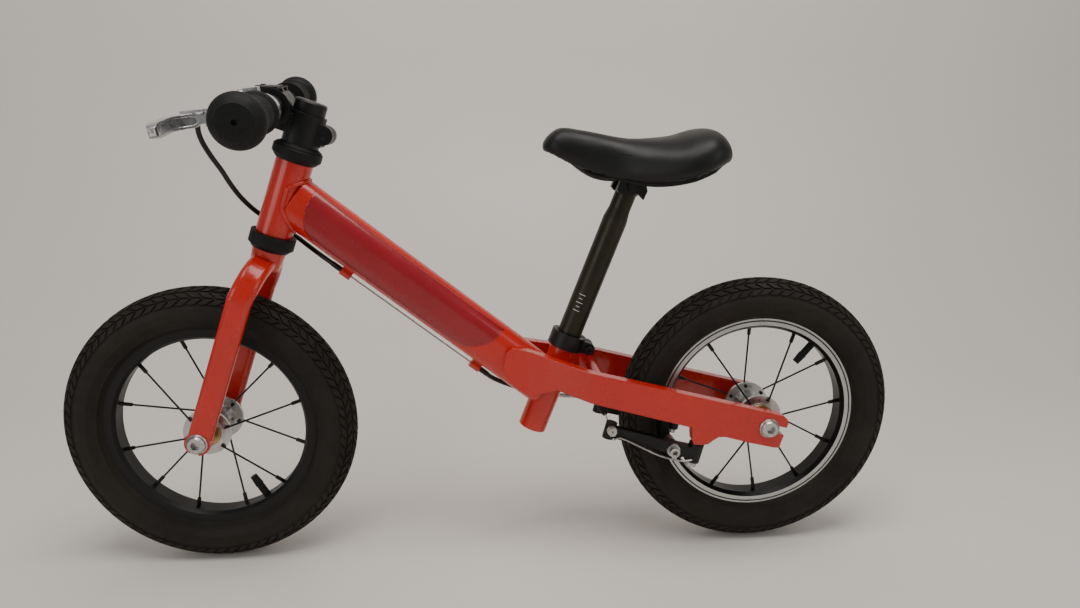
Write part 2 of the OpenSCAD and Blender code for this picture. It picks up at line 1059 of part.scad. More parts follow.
// The cable between the two arms, with the bolt that anchors it
module cable_anchor() {
    color("gray")
        translate(noodle_end) {
            bar_y(0.9, -55, 29.9);
            translate([0, -boss_y - 0.1, 0])
                rotate([90, 0, 0]) {
                    cylinder(r = 5, h = 3);
                    translate([0, 0, 2.9])
                        cylinder(r = 4.6, h = 4.1, $fn = 6);
                }
        }
}

// ---- Rear brake ----

module brake_arm() {
    at_boss()
        difference() {
            union() {
                translate([0, 0, -10])
                    cylinder(r = 8, h = 20);
                translate([0, 0, -6])
                    linear_extrude(12)
                        polygon([
                            [4, -6.5], [-26, -6.5], [-52, 2], [-96, 4.5], [-98, 8.5],
                            [-96, 12.5], [-52, 11], [-26, 5], [4, 6.5]
                        ]);
                translate([-arm_len, 8.5, -8])
                    cylinder(r = 6, h = 18);
            }
            translate([0, 0, -12])
                cylinder(r = boss_r + run, h = 24);
            // Hole of the pad stud
            translate([stud_x, -20, 0])
                bar_y(3.1, 0, 40);
            // Cable hole across the end
            translate([-arm_len, 0, cable_z])
                bar_y(2.5 + run, -10, 30);
        }
}

module brake_arm_left() {
    color([0.08, 0.08, 0.08])
        brake_arm();
}

module brake_arm_right() {
    color([0.08, 0.08, 0.08])
        mirror([0, 1, 0])
            brake_arm();
}

// Angle of the pad stud about the rear axle, and its distance from the axle
stud = [boss_x, 0, boss_z] + turn_y([stud_x, 0, 0], stay_slope);
pad_turn = atan2(stud[2] - tyre_r, stud[0] - rear_x);

module brake_pad() {
    face = rim_w / 2 + pad_gap;
    at_wheel(rear_x)
        at_angle(pad_turn - 13)
            rotate([90, 0, 0]) {
                rotate_extrude(angle = 26, $fn = 96)
                    translate([99.2, face])
                        square([8, 8]);
                rotate([0, 0, 1])
                    rotate_extrude(angle = 24, $fn = 96)
                        translate([99.8, face + 7.9])
                            square([6.8, 4]);
            }
}

module brake_pad_left() {
    color([0.05, 0.05, 0.05])
        brake_pad();
}

module brake_pad_right() {
    color([0.05, 0.05, 0.05])
        mirror([0, 1, 0])
            brake_pad();
}

module pad_stud() {
    root = rim_w / 2 + pad_gap + 11.9;
    translate(stud)
        difference() {
            union() {
                bar_y(3, -boss_y - 12, -root);
                bar_y(7, -boss_y + 6.6, -root - 2);
                bar_y(6.8, -boss_y - 9.6, -boss_y - 6.6);
                bar_y(5.2, -boss_y - 16, -boss_y - 9.6);
            }
            translate([0, -boss_y - 12, 0])
                rotate([90, 0, 0])
                    cylinder(r = 2.9, h = 8, $fn = 6);
        }
}

module pad_stud_left() {
    color("silver")
        pad_stud();
}

module pad_stud_right() {
    color("silver")
        mirror([0, 1, 0])
            pad_stud();
}

module return_spring() {
    at_boss()
        cord(curve([[-3, -9.2, -6], [-14, -9.5, -9.5], [-36, -8, -9.5], [-60, -2, -6],
            [-80, 1.8, -3], [-86, 1.8, -7]], 3), 0.9, 8);
}

module return_spring_left() {
    color("silver")
        return_spring();
}

module return_spring_right() {
    color("silver")
        mirror([0, 1, 0])
            return_spring();
}

module brake_pivot_bolts() {
    color("gray")
        both_sides()
            at_boss() {
                translate([0, 0, -11 - 0.01])
                    cylinder(r = 2.5 - 0.02, h = 14);
                translate([0, 0, -11])
                    mirror([0, 0, 1])
                        socket_head(6, 4);
            }
}

// ---- Saddle ----

module seat_clamp() {
    color("black")
        at_seat(96)
            difference() {
                union() {
                    cylinder(r = 18.6, h = 16);
                    translate([12, -9.5, 1])
                        cube([12, 19, 13]);
                    translate([24, 0, 7.5])
                        bar_y(6.5, -9.5, 9.5);
                }
                translate([0, 0, -1])
                    cylinder(r = seat_od / 2 + 0.01, h = seat_len - 96 + 1);
                cylinder(r = post_r + 0.6, h = 30);
                translate([0, -1.2, -1])
                    cube([40, 2.4, 30]);
                translate([24, 0, 7.5])
                    bar_y(2.6, -20, 20);
            }
}

module seat_clamp_bolt() {
    color("dimgray")
        at_seat(96)
            translate([24, 0, 7.5]) {
                bar_y(2.55, -9.5, 9.5);
                translate([0, -9.5, 0])
                    rotate([90, 0, 0])
                        socket_head(4.3, 4.5);
            }
}

module seat_post() {
    color([0.12, 0.11, 0.07])
        difference() {
            union() {
                at_seat(post_low)
                    cylinder(r = post_r, h = post_neck - post_low);
                at_seat(post_neck)
                    cylinder(r1 = post_r, r2 = 11, h = 12);
                at_seat(post_neck + 12)
                    cylinder(r = 11, h = head_w - post_neck - 12);
                at_seat(head_w)
                    bar_y(9.5, -12, 12);
            }
            at_seat(post_low - 1)
                cylinder(r = post_r - 1.6, h = post_neck - post_low);
            at_seat(head_w)
                bar_y(4 + run, -20, 20);
        }
}

// Height of the saddle rails over the clamp's axis, and their distance from
// the centre plane
rail_h = 8.5;
rail_y = 17;

module saddle_clamp() {
    color([0.1, 0.1, 0.1])
        both_sides()
            difference() {
                union() {
                    at_seat(head_w)
                        bar_y(8, -21.5, -12 - air);
                    // Jaw round the rail, with a pointed foot behind the bolt
                    at_seat(head_w)
                        rotate([0, -seat_lean, 0])
                            translate([0, -12.2 - air, 0])
                                rotate([90, 0, 0])
                                    linear_extrude(8.6)
                                        polygon([
                                            [-12, 12], [-13, 4], [-16, -3.2], [-13, -6.8],
                                            [5, -7.2], [11, -13.5], [15, -4.6], [13, 4],
                                            [12, 12], [9, 15], [-9, 15]
                                        ]);
                }
                at_seat(head_w)
                    bar_y(4, -40, 0);
                at_seat(head_w)
                    rotate([0, -seat_lean, 0])
                        translate([-30, -rail_y, rail_h])
                            rotate([0, 90, 0])
                                cylinder(r = 3.7, h = 60);
            }
}

module saddle_clamp_bolt() {
    color("dimgray")
        at_seat(head_w) {
            bar_y(4, -21.6, 21.6);
            both_sides()
                translate([0, -21.6, 0])
                    rotate([90, 0, 0])
                        cylinder(r = 5.6, h = 3.4, $fn = 6);
        }
}

module saddle_rails() {
    post_top = [seat_x, 0, seat_z] + turn_y([0, 0, head_w], seat_lean);
    low = post_top[2] + rail_h;
    color("dimgray")
        both_sides()
            cord(curve([
                [80, -7, 427], [92, -8.5, 417], [104, -10.5, 409], [116, -14, low + 0.5],
                [127, -rail_y + 0.2, low], [131, -rail_y, low], [144, -rail_y, low],
                [157, -rail_y, low], [161, -rail_y - 0.2, low], [186, -22, 409],
                [200, -28, 417], [207, -31, 427]
            ], 3), 3.5, 12);
}

module saddle_outline() {
    polygon(concat(curve(saddle_top, 4), curve(saddle_low, 4)));
}

module saddle_plan_outline() {
    half = [for (p = curve(saddle_plan, 4)) [p[0], p[1] * saddle_w / 113]];
    polygon(concat(half, [for (i = [len(half) - 1 : -1 : 0]) [half[i][0], -half[i][1]]]));
}

// Side section of the hollow under the saddle, and the crowned cross-section
module saddle_hollow(less) {
    side = [[70, 426 - less], [82, 434 - less], [105, 433 - less], [150, 427 - less],
        [190, 430 - less], [222, 433 - less], [233 - less, 420], [233 - less, 380],
        [62 + less, 380], [62 + less, 426 - less]];
    half = saddle_w / 2 - 8 - less;
    intersection() {
        translate([0, 80, 0])
            rotate([90, 0, 0])
                linear_extrude(160)
                    polygon(side);
        translate([0, 0, 300])
            linear_extrude(200)
                polygon([
                    [66 + less, -12 + less], [66 + less, 12 - less],
                    [105, 18.5 - less], [129, 25 - less], [172, 40 - less], [202, half],
                    [222, half - 5], [233 - less, 30], [233 - less, -30],
                    [222, 5 - half], [202, -half], [172, less - 40], [129, less - 25],
                    [105, less - 18.5]
                ]);
    }
}

module saddle_pad() {
    color([0.1, 0.1, 0.09])
        difference() {
            intersection() {
                translate([0, 80, 0])
                    rotate([90, 0, 0])
                        linear_extrude(160)
                            saddle_outline();
                translate([0, 0, 380])
                    linear_extrude(90)
                        saddle_plan_outline();
                // Crown across the saddle
                translate([40, 0, 395])
                    rotate([0, 90, 0])
                        linear_extrude(220)
                            scale([1.02, 1])
                                circle(r = saddle_w / 2 + 0.5, $fn = 64);
            }
            saddle_hollow(0);
        }
}

module saddle_base() {
    color([0.07, 0.07, 0.07])
        difference() {
            union() {
                difference() {
                    saddle_hollow(0.2);
                    saddle_hollow(3);
                }
                // Sockets for the ends of the rails
                intersection() {
                    saddle_hollow(0.2);
                    both_sides() {
                        translate([71, -12, 422])
                            cube([19, 10, 20]);
                        translate([197, -38, 419])
                            cube([20, 14, 20]);
                    }
                }
            }
            // Its lower edge stays hidden behind the skirt of the pad
            translate([0, 80, -2])
                rotate([90, 0, 0])
                    linear_extrude(160)
                        polygon(concat(
                            [for (p = curve(saddle_low, 4)) [p[0], p[1] + 4]],
                            [[50, 300], [260, 300]]
                        ));
        }
}

// ---- Wheels ----

module tyre() {
    color([0.1, 0.09, 0.08])
        rotate([90, 0, 0])
            rotate_extrude($fn = 120) {
                difference() {
                    translate([section_c, 0])
                        circle(r = section_r, $fn = 64);
                    translate([section_c, 0])
                        circle(r = tube_cavity, $fn = 64);
                    translate([0, -50])
                        square([rim_r + 0.2, 100]);
                }
                for (s = [-1, 1])
                    translate([rim_r - 6, s * (rim_w / 2 - 3.4) - 1.35])
                        square([6.5, 2.7]);
            }
}

// Inner tube with its valve through the rim, and the cap on the valve
module inner_tube(valve_turn) {
    color([0.15, 0.15, 0.15]) {
        rotate([90, 0, 0])
            rotate_extrude($fn = 96)
                translate([section_c, 0])
                    difference() {
                        circle(r = tube_cavity - 0.2, $fn = 32);
                        circle(r = tube_cavity - 1.7, $fn = 32);
                    }
        at_angle(valve_turn)
            rotate([0, 90, 0]) {
                translate([0, 0, 82])
                    cylinder(r = 3.9, h = section_c - tube_cavity - 80);
                translate([0, 0, 70])
                    cylinder(r1 = 3.6, r2 = 4.4, h = 11.9);
            }
    }
}

module rim(spoke_turn, valve_turn, tint) {
    half = rim_w / 2;
    color(tint)
        difference() {
            rotate([90, 0, 0])
                rotate_extrude($fn = 120)
                    polygon(both_ends([
                        [rim_floor, half - 4], [rim_floor + 3, half], [rim_r, half],
                        [rim_r, half - 2], [rim_r - 6.5, half - 2],
                        [rim_floor + 3.5, half - 5.5]
                    ]));
            for (k = [0 : spoke_count - 1])
                at_spoke(k, spoke_turn)
                    translate([0, 0, spoke_len - 12])
                        cylinder(r = 2.05, h = 16, $fn = 24);
            at_angle(valve_turn)
                rotate([0, 90, 0])
                    translate([0, 0, rim_floor - 5])
                        cylinder(r = 4.1, h = 12);
        }
}

// Each spoke runs from the outside of its flange to the middle of the rim
spoke_y = flange_y + 2.4;
rim_y = 1.5;
spoke_len = norm([rim_floor - spoke_circle, spoke_y - rim_y]);

module at_spoke(k, spoke_turn) {
    side = k % 2 == 0 ? -1 : 1;
    at_angle(spoke_turn + k * 360 / spoke_count)
        translate([spoke_circle, side * spoke_y, 0])
            rotate([0, 90, -side * atan2(spoke_y - rim_y, rim_floor - spoke_circle)])
                children();
}

module spokes(spoke_turn) {
    color("black")
        for (k = [0 : spoke_count - 1]) {
            side = k % 2 == 0 ? -1 : 1;
            at_spoke(k, spoke_turn) {
                cylinder(r = 1, h = spoke_len - 4, $fn = 16);
                translate([0, 0, spoke_len - 11])
                    cylinder(r = 2, h = 14, $fn = 24);
            }
            // Elbow and head through the flange
            at_angle(spoke_turn + k * 360 / spoke_count)
                translate([spoke_circle, 0, 0])
                    scale([1, side, 1]) {
                        bar_y(1, flange_y - flange_t - 1.5, spoke_y);
                        bar_y(1.9, flange_y - flange_t - 1.5, flange_y - flange_t - 0.2);
                        translate([0, spoke_y, 0])
                            sphere(r = 1.2, $fn = 16);
                    }
        }
}

module hub(spoke_turn) {
    color("silver")
        difference() {
            revolve_y(both_ends([
                [6, 15.6], [bearing_r, 15.6], [bearing_r, flange_y + 1.5],
                [15.5, flange_y + 1.5], [15.5, flange_y], [flange_r, flange_y],
                [flange_r, flange_y - flange_t], [15, flange_y - flange_t], [12, 11]
            ]));
            for (k = [0 : spoke_count - 1])
                at_angle(spoke_turn + k * 360 / spoke_count)
                    translate([spoke_circle, 0, 0])
                        scale([1, k % 2 == 0 ? -1 : 1, 1])
                            bar_y(1.2, 10, 30);
        }
}

// Cartridge bearings and the gold dust caps outside them
module bearings() {
    color("goldenrod")
        both_sides() {
            revolve_y([
                [axle_r + run, -15.7], [bearing_r, -15.7],
                [bearing_r, -15.7 - bearing_w], [axle_r + run, -15.7 - bearing_w]
            ]);
            revolve_y([
                [7.2, -flange_y - 1.6], [14.8, -flange_y - 1.6],
                [14, -flange_y - 4], [7.2, -flange_y - 4]
            ]);
        }
}

module front_tyre() {
    at_wheel(front_x) tyre();
}

module front_inner_tube() {
    at_wheel(front_x) inner_tube(front_valve_turn);
}

module front_rim() {
    at_wheel(front_x) rim(front_spoke_turn, front_valve_turn, "black");
}

module front_spokes() {
    at_wheel(front_x) spokes(front_spoke_turn);
}

module front_hub() {
    at_wheel(front_x) hub(front_spoke_turn);
}

module front_bearings() {
    at_wheel(front_x) bearings();
}

module rear_tyre() {
    at_wheel(rear_x) tyre();
}

module rear_inner_tube() {
    at_wheel(rear_x) inner_tube(rear_valve_turn);
}

module rear_rim() {
    at_wheel(rear_x) rim(rear_spoke_turn, rear_valve_turn, "silver");
}

module rear_spokes() {
    at_wheel(rear_x) spokes(rear_spoke_turn);
}

module rear_hub() {
    at_wheel(rear_x) hub(rear_spoke_turn);
}

module rear_bearings() {
    at_wheel(rear_x) bearings();
}

head_tube();
main_tube();
seat_tube();
chainstay_left();
chainstay_right();
stay_bridge();
headset_cups();
headset_bearings();
headset_races();
fork();
front_axle();
front_axle_bolts();
rear_axle();
rear_axle_bolts();
stem();
stem_faceplate();
stem_bolts();
top_cap();
handlebar();
grip_left();
grip_right();
lever_body();
lever_bolts();
cable_adjuster();
lever_blade();
housing_front();
inner_cable();
cable_anchor();
housing_rear();
noodle();
noodle_boot();
brake_arm_left();
brake_arm_right();
brake_pad_left();
brake_pad_right();
pad_stud_left();
pad_stud_right();
return_spring_left();
return_spring_right();
brake_pivot_bolts();
seat_clamp();
seat_clamp_bolt();
seat_post();
saddle_clamp();
saddle_clamp_bolt();
saddle_rails();
saddle_base();
saddle_pad();
front_tyre();
front_inner_tube();
front_rim();
front_spokes();
front_hub();
front_bearings();
rear_tyre();
rear_inner_tube();
rear_rim();
rear_spokes();
rear_hub();
rear_bearings();
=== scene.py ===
"""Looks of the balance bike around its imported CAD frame. Sizes are in metres."""
import json
import math

import bmesh
import bpy
import numpy as np
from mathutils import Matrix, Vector


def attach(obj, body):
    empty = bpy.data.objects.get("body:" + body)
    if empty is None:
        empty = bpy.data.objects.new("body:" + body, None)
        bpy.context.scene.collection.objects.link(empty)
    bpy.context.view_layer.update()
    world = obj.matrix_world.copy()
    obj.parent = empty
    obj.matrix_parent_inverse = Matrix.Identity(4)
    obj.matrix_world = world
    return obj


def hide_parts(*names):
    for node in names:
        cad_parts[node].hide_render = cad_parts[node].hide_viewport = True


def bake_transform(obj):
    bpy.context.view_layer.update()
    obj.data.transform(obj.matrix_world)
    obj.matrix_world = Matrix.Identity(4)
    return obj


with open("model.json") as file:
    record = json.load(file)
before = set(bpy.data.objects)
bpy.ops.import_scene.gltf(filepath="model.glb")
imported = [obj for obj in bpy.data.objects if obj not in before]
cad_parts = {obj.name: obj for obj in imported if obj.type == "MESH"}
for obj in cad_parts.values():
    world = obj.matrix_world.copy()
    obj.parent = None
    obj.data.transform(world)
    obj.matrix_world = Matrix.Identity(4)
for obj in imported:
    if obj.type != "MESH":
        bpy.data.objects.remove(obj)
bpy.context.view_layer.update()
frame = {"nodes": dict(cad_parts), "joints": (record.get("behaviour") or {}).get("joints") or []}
nodes = frame["nodes"]
joints = {j["name"]: j for j in frame["joints"]}
MM = 0.001

# ---------------------------------------------------------------- frames


def turn(axis, degrees):
    """Rotation matrix about a row axis."""
    c, s = math.cos(math.radians(degrees)), math.sin(math.radians(degrees))
    return {
        "x": np.array([[1, 0, 0], [0, c, -s], [0, s, c]]),
        "y": np.array([[c, 0, s], [0, 1, 0], [-s, 0, c]]),
        "z": np.array([[c, -s, 0], [s, c, 0], [0, 0, 1]]),
    }[axis]


class Place:
    """A local frame of the bike: call it with points in millimetres."""

    def __init__(self, origin, matrix):
        self.origin, self.matrix = np.array(origin, float), np.array(matrix, float)

    def __call__(self, points):
        return self.origin + (np.asarray(points, float) * MM) @ self.matrix.T

    def moved(self, point, matrix=np.eye(3)):
        return Place(self(point), self.matrix @ matrix)


# Angles in degrees and places as in the part's source
HEAD_LEAN, MAIN_SLOPE, SEAT_LEAN = 19.9, 38.3, 21.0
BAR_TURN, BAR_TILT, LEVER_ROLL = 6.3, 2.2, 27.0
BAR_IN_HEAD_MM = [-33, 0, 126.5]
MAIN_START, SEAT_START = [-0.190, 0, 0.384], [0.0459, 0, 0.137]
head = Place(joints["steering_turn"]["pos_m"], turn("y", HEAD_LEAN))
bar = head.moved(BAR_IN_HEAD_MM, turn("z", BAR_TURN) @ turn("x", BAR_TILT))
lever = bar.moved([0, 0, 0], turn("y", -LEVER_ROLL))
main = Place(MAIN_START, turn("y", MAIN_SLOPE))
seat = Place(SEAT_START, turn("y", SEAT_LEAN))
front_wheel = Place(joints["front_wheel_spin"]["pos_m"], np.eye(3))
rear_wheel = Place(joints["rear_wheel_spin"]["pos_m"], np.eye(3))

# ---------------------------------------------------------------- materials


class Nodes:
    """Short way to add and link shader nodes."""

    def __init__(self, name):
        self.material = bpy.data.materials.new(name)
        self.material.use_nodes = True
        self.tree = self.material.node_tree
        self.shader = self.tree.nodes["Principled BSDF"]

    def add(self, kind, **values):
        node = self.tree.nodes.new("ShaderNode" + kind)
        for key, value in values.items():
            if key in node.inputs:
                node.inputs[key].default_value = value
            else:
                setattr(node, key, value)
        return node

    def link(self, a, out, b, into):
        self.tree.links.new(a.outputs[out], b.inputs[into])

    def set(self, **values):
        for key, value in values.items():
            self.shader.inputs[key.replace("_", " ")].default_value = value


def spotted(m, scale, detail=4.0, stretch=(1, 1, 1)):
    """Noise over the object, with an optional stretch."""
    place = m.add("TexCoord")
    mapping = m.add("Mapping")
    mapping.inputs["Scale"].default_value = stretch
    pattern = m.add("TexNoise", Scale=scale, Detail=detail, Roughness=0.6)
    m.link(place, "Object", mapping, "Vector")
    m.link(mapping, "Vector", pattern, "Vector")
    return pattern


def ramp(m, source, out, stops):
    node = m.add("ValToRGB")
    elements = node.color_ramp.elements
    while len(elements) < len(stops):
        elements.new(0.5)
    for element, (position, colour) in zip(elements, stops):
        element.position = position
        element.color = (*colour, 1) if len(colour) == 3 else colour
    m.link(source, out, node, "Fac")
    return node


def bump(m, source, out, strength, distance, under=None, edge=0.0):
    """Bump on top of another bump, or on edges rounded by the given radius."""
    node = m.add("Bump", Strength=strength, Distance=distance)
    m.link(source, out, node, "Height")
    if under is not None:
        m.link(under, "Normal", node, "Normal")
    elif edge:
        rounded = m.add("Bevel", Radius=edge)
        rounded.samples = 6
        m.link(rounded, "Normal", node, "Normal")
    return node


def finish_material(
    name, colours, rough, metal=0.0, grain=900.0, grain_depth=0.00004, blotch=22.0,
    edge=0.0, stretch=(1, 1, 1), strength=0.25, **sockets
):
    """A surface with colour variation, uneven roughness and a fine grain."""
    m = Nodes(name)
    m.set(Metallic=metal, **sockets)
    cloud = spotted(m, blotch, 5.0)
    colour = ramp(m, cloud, "Fac", [(0.3, colours[0]), (0.7, colours[1])])
    m.link(colour, "Color", m.shader, "Base Color")
    smear = spotted(m, blotch * 3.1, 6.0, stretch)
    low, high = rough
    shine = ramp(m, smear, "Fac", [(0.3, (low,) * 3), (0.75, (high,) * 3)])
    m.link(shine, "Color", m.shader, "Roughness")
    fine = spotted(m, grain, 3.0, stretch)
    b = bump(m, fine, "Fac", strength, grain_depth, edge=edge)
    m.link(b, "Normal", m.shader, "Normal")
    return m


def paint(name, base, deep, edge=2.2 * MM):
    """Gloss enamel: slight orange peel, dust in it and dull scuffs."""
    return finish_material(
        name, (deep, base), (0.20, 0.36), grain=260, grain_depth=0.00006, blotch=9,
        edge=edge, strength=0.10, Coat_Weight=0.55, Coat_Roughness=0.07,
        Specular_IOR_Level=0.4,
    )


# Radii between which the colour bands of a rim are spread
RIM_IN, RIM_OUT = 0.094, 0.110


def bands(name, middle, stops, rough, metal):
    """Rim finish: colour bands by the distance from the wheel's axle."""
    m = Nodes(name)
    m.set(Metallic=metal)
    place = m.add("TexCoord")
    shift = m.add("Mapping")
    shift.inputs["Location"].default_value = (-middle[0], 0, -middle[2])
    m.link(place, "Object", shift, "Vector")
    parts = m.add("SeparateXYZ")
    m.link(shift, "Vector", parts, "Vector")
    flat = m.add("CombineXYZ")
    m.link(parts, "X", flat, "X")
    m.link(parts, "Z", flat, "Z")
    length = m.add("VectorMath", operation="LENGTH")
    m.link(flat, "Vector", length, 0)
    scaled = m.add("MapRange")
    scaled.inputs["From Min"].default_value = RIM_IN
    scaled.inputs["From Max"].default_value = RIM_OUT
    m.link(length, "Value", scaled, "Value")
    colour = ramp(m, scaled, "Result", stops)
    colour.color_ramp.interpolation = "CONSTANT"
    wear = spotted(m, 60, 5, (1, 4, 1))
    dirt = ramp(m, wear, "Fac", [(0.3, (0.72,) * 3), (0.7, (1, 1, 1))])
    mix = m.add("Mix", data_type="RGBA", blend_type="MULTIPLY")
    mix.inputs[0].default_value = 0.8
    m.tree.links.new(colour.outputs["Color"], mix.inputs[6])
    m.tree.links.new(dirt.outputs["Color"], mix.inputs[7])
    m.tree.links.new(mix.outputs[2], m.shader.inputs["Base Color"])
    shine = ramp(m, wear, "Fac", [(0.3, (rough[0],) * 3), (0.75, (rough[1],) * 3)])
    m.link(shine, "Color", m.shader, "Roughness")
    turned = spotted(m, 500, 3, (1, 1, 1))
    b = bump(m, turned, "Fac", 0.2, 0.00004, edge=0.5 * MM)
    m.link(b, "Normal", m.shader, "Normal")
    return m


RED = paint("enamel_red", (0.62, 0.014, 0.003), (0.52, 0.010, 0.003))
WINE = paint("panel_burgundy", (0.34, 0.005, 0.012), (0.28, 0.004, 0.010), 0)
TYRE = finish_material(
    "tyre_rubber", ((0.009, 0.007, 0.005), (0.018, 0.014, 0.010)), (0.6, 0.85),
    grain=1500, grain_depth=0.00008, blotch=14, strength=0.35, Specular_IOR_Level=0.3,
)
RUBBER = finish_material(
    "soft_rubber", ((0.004, 0.004, 0.004), (0.008, 0.008, 0.008)), (0.5, 0.75),
    grain=1900, grain_depth=0.00008, blotch=30, edge=0.6 * MM, strength=0.35,
    Specular_IOR_Level=0.28,
)
SLEEVE = finish_material(
    "cable_sleeve", ((0.004, 0.004, 0.004), (0.008, 0.008, 0.008)), (0.25, 0.4),
    grain=1800, blotch=30, Specular_IOR_Level=0.4,
)
BLACK = finish_material(
    "black_alloy", ((0.005, 0.005, 0.005), (0.010, 0.010, 0.010)), (0.32, 0.5),
    metal=0.2, grain=1400, blotch=40, edge=0.9 * MM, Specular_IOR_Level=0.4,
)
STEEL_BLACK = finish_material(
    "black_steel", ((0.016, 0.016, 0.017), (0.035, 0.034, 0.033)), (0.3, 0.48),
    metal=0.8, grain=1500, blotch=60, edge=0.25 * MM,
)
SILVER = finish_material(
    "silver_alloy", ((0.52, 0.52, 0.53), (0.68, 0.68, 0.69)), (0.22, 0.38),
    metal=1.0, grain=1100, blotch=45, edge=0.7 * MM,
)
HUB = finish_material(
    "hub_alloy", ((0.42, 0.41, 0.40), (0.66, 0.65, 0.63)), (0.24, 0.42),
    metal=1.0, grain=900, blotch=70, edge=0.5 * MM, stretch=(1, 8, 1),
)
STEEL = finish_material(
    "bright_steel", ((0.40, 0.39, 0.38), (0.60, 0.59, 0.57)), (0.2, 0.42),
    metal=1.0, grain=1200, blotch=90, edge=0.4 * MM,
)
GOLD = finish_material(
    "bearing_gold", ((0.36, 0.24, 0.09), (0.55, 0.40, 0.17)), (0.25, 0.45),
    metal=1.0, grain=1200, blotch=90, edge=0.3 * MM,
)
POST = finish_material(
    "post_anodised", ((0.022, 0.020, 0.012), (0.036, 0.032, 0.020)), (0.3, 0.5),
    metal=0.6, grain=500, blotch=30, stretch=(1, 1, 0.08), edge=0.6 * MM,
)
VINYL = finish_material(
    "saddle_vinyl", ((0.004, 0.004, 0.004), (0.0075, 0.0075, 0.007)), (0.36, 0.52),
    grain=2600, grain_depth=0.00012, blotch=16, strength=0.4, Specular_IOR_Level=0.33,
)
SHELL = finish_material(
    "saddle_shell", ((0.004, 0.004, 0.004), (0.008, 0.008, 0.008)), (0.45, 0.65),
    grain=1600, grain_depth=0.00008, blotch=20, edge=0.5 * MM, Specular_IOR_Level=0.3,
)
FRONT_RIM = bands(
    "rim_black", front_wheel.origin,
    [(0.0, (0.012,) * 3), (0.93, (0.02,) * 3), (0.97, (0.012,) * 3)], (0.35, 0.55), 0.5,
)
REAR_RIM = bands(
    "rim_track", rear_wheel.origin,
    [(0.0, (0.014,) * 3), (0.34, (0.60, 0.60, 0.59)), (0.60, (0.04,) * 3),
     (0.70, (0.62, 0.62, 0.61))],
    (0.24, 0.42), 0.85,
)
MARK = finish_material(
    "height_marks", ((0.5, 0.5, 0.47), (0.66, 0.66, 0.62)), (0.4, 0.6), grain=1200,
)

LOOKS = [
    (RED, "head_tube main_tube seat_tube chainstay_left chainstay_right stay_bridge fork"),
    (RUBBER, "headset_cups headset_races brake_pad_left brake_pad_right noodle_boot"),
    (STEEL, "headset_bearings front_axle rear_axle front_axle_bolts rear_axle_bolts"),
    (STEEL, "lever_bolts inner_cable cable_anchor noodle return_spring_left"),
    (STEEL, "return_spring_right brake_pivot_bolts pad_stud_left pad_stud_right"),
    (BLACK, "stem stem_faceplate top_cap handlebar seat_clamp"),
    (BLACK, "brake_arm_left brake_arm_right saddle_clamp"),
    (STEEL_BLACK, "stem_bolts seat_clamp_bolt saddle_clamp_bolt saddle_rails"),
    (STEEL_BLACK, "front_spokes rear_spokes"),
    (SILVER, "lever_body lever_blade cable_adjuster"),
    (HUB, "front_hub rear_hub"),
    (GOLD, "front_bearings rear_bearings"),
    (POST, "seat_post"),
    (SHELL, "saddle_base"),
    (VINYL, "saddle_pad"),
    (SLEEVE, "housing_front housing_rear"),
    (RUBBER, "grip_left grip_right front_inner_tube rear_inner_tube"),
    (TYRE, "front_tyre rear_tyre"),
    (FRONT_RIM, "front_rim"),
    (REAR_RIM, "rear_rim"),
]
for look, names in LOOKS:
    for name in names.split():
        nodes[name].data.materials.clear()
        nodes[name].data.materials.append(look.material)

# ---------------------------------------------------------------- mesh tools


def make(name, points, faces, look, body, smooth=True, replaced=()):
    """A mesh piece that rides on a body."""
    mesh = bpy.data.meshes.new(name)
    mesh.from_pydata([tuple(p) for p in points], [], [tuple(f) for f in faces])
    mesh.validate()
    work = bmesh.new()
    work.from_mesh(mesh)
    bmesh.ops.recalc_face_normals(work, faces=work.faces)
    work.to_mesh(mesh)
    work.free()
    for polygon in mesh.polygons:
        polygon.use_smooth = smooth
    mesh.materials.append(look.material)
    piece = bpy.data.objects.new(name, mesh)
    bpy.context.scene.collection.objects.link(piece)
    if body:
        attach(piece, body)
    if replaced:
        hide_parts(*replaced)
    return piece


def grid_faces(rows, columns, wrap_rows=False, wrap_columns=True):
    faces = []
    for i in range(rows if wrap_rows else rows - 1):
        for k in range(columns if wrap_columns else columns - 1):
            a, b = i * columns + k, i * columns + (k + 1) % columns
            c = (i + 1) % rows * columns + (k + 1) % columns
            faces.append((a, b, c, (i + 1) % rows * columns + k))
    return faces


def lathe(profile, steps, place):
    """Points and faces of [radius, y] points turned about the place's y axis."""
    angles = np.linspace(0, 2 * math.pi, steps, endpoint=False)
    points = [
        [r * math.cos(a), y, r * math.sin(a)] for r, y in profile for a in angles
    ]
    faces = grid_faces(len(profile), steps)
    for end, ring in ((0, 0), (1, len(profile) - 1)):
        if profile[ring][0] < 1e-6:
            continue
        faces.append(tuple(ring * steps + k for k in range(steps)))
    return place(points), faces


def spline(points, steps):
    """Catmull-Rom curve through the points."""
    p = np.array(points, float)
    hold = lambda i: p[max(0, min(len(p) - 1, i))]
    out = []
    for i in range(len(p) - 1):
        a, b, c, d = hold(i - 1), hold(i), hold(i + 1), hold(i + 2)
        for t in np.arange(steps) / steps:
            out.append(
                0.5 * (2 * b + (c - a) * t + (2 * a - 5 * b + 4 * c - d) * t**2
                       + (3 * b - a - 3 * c + d) * t**3)
            )
    out.append(p[-1])
    return np.array(out)


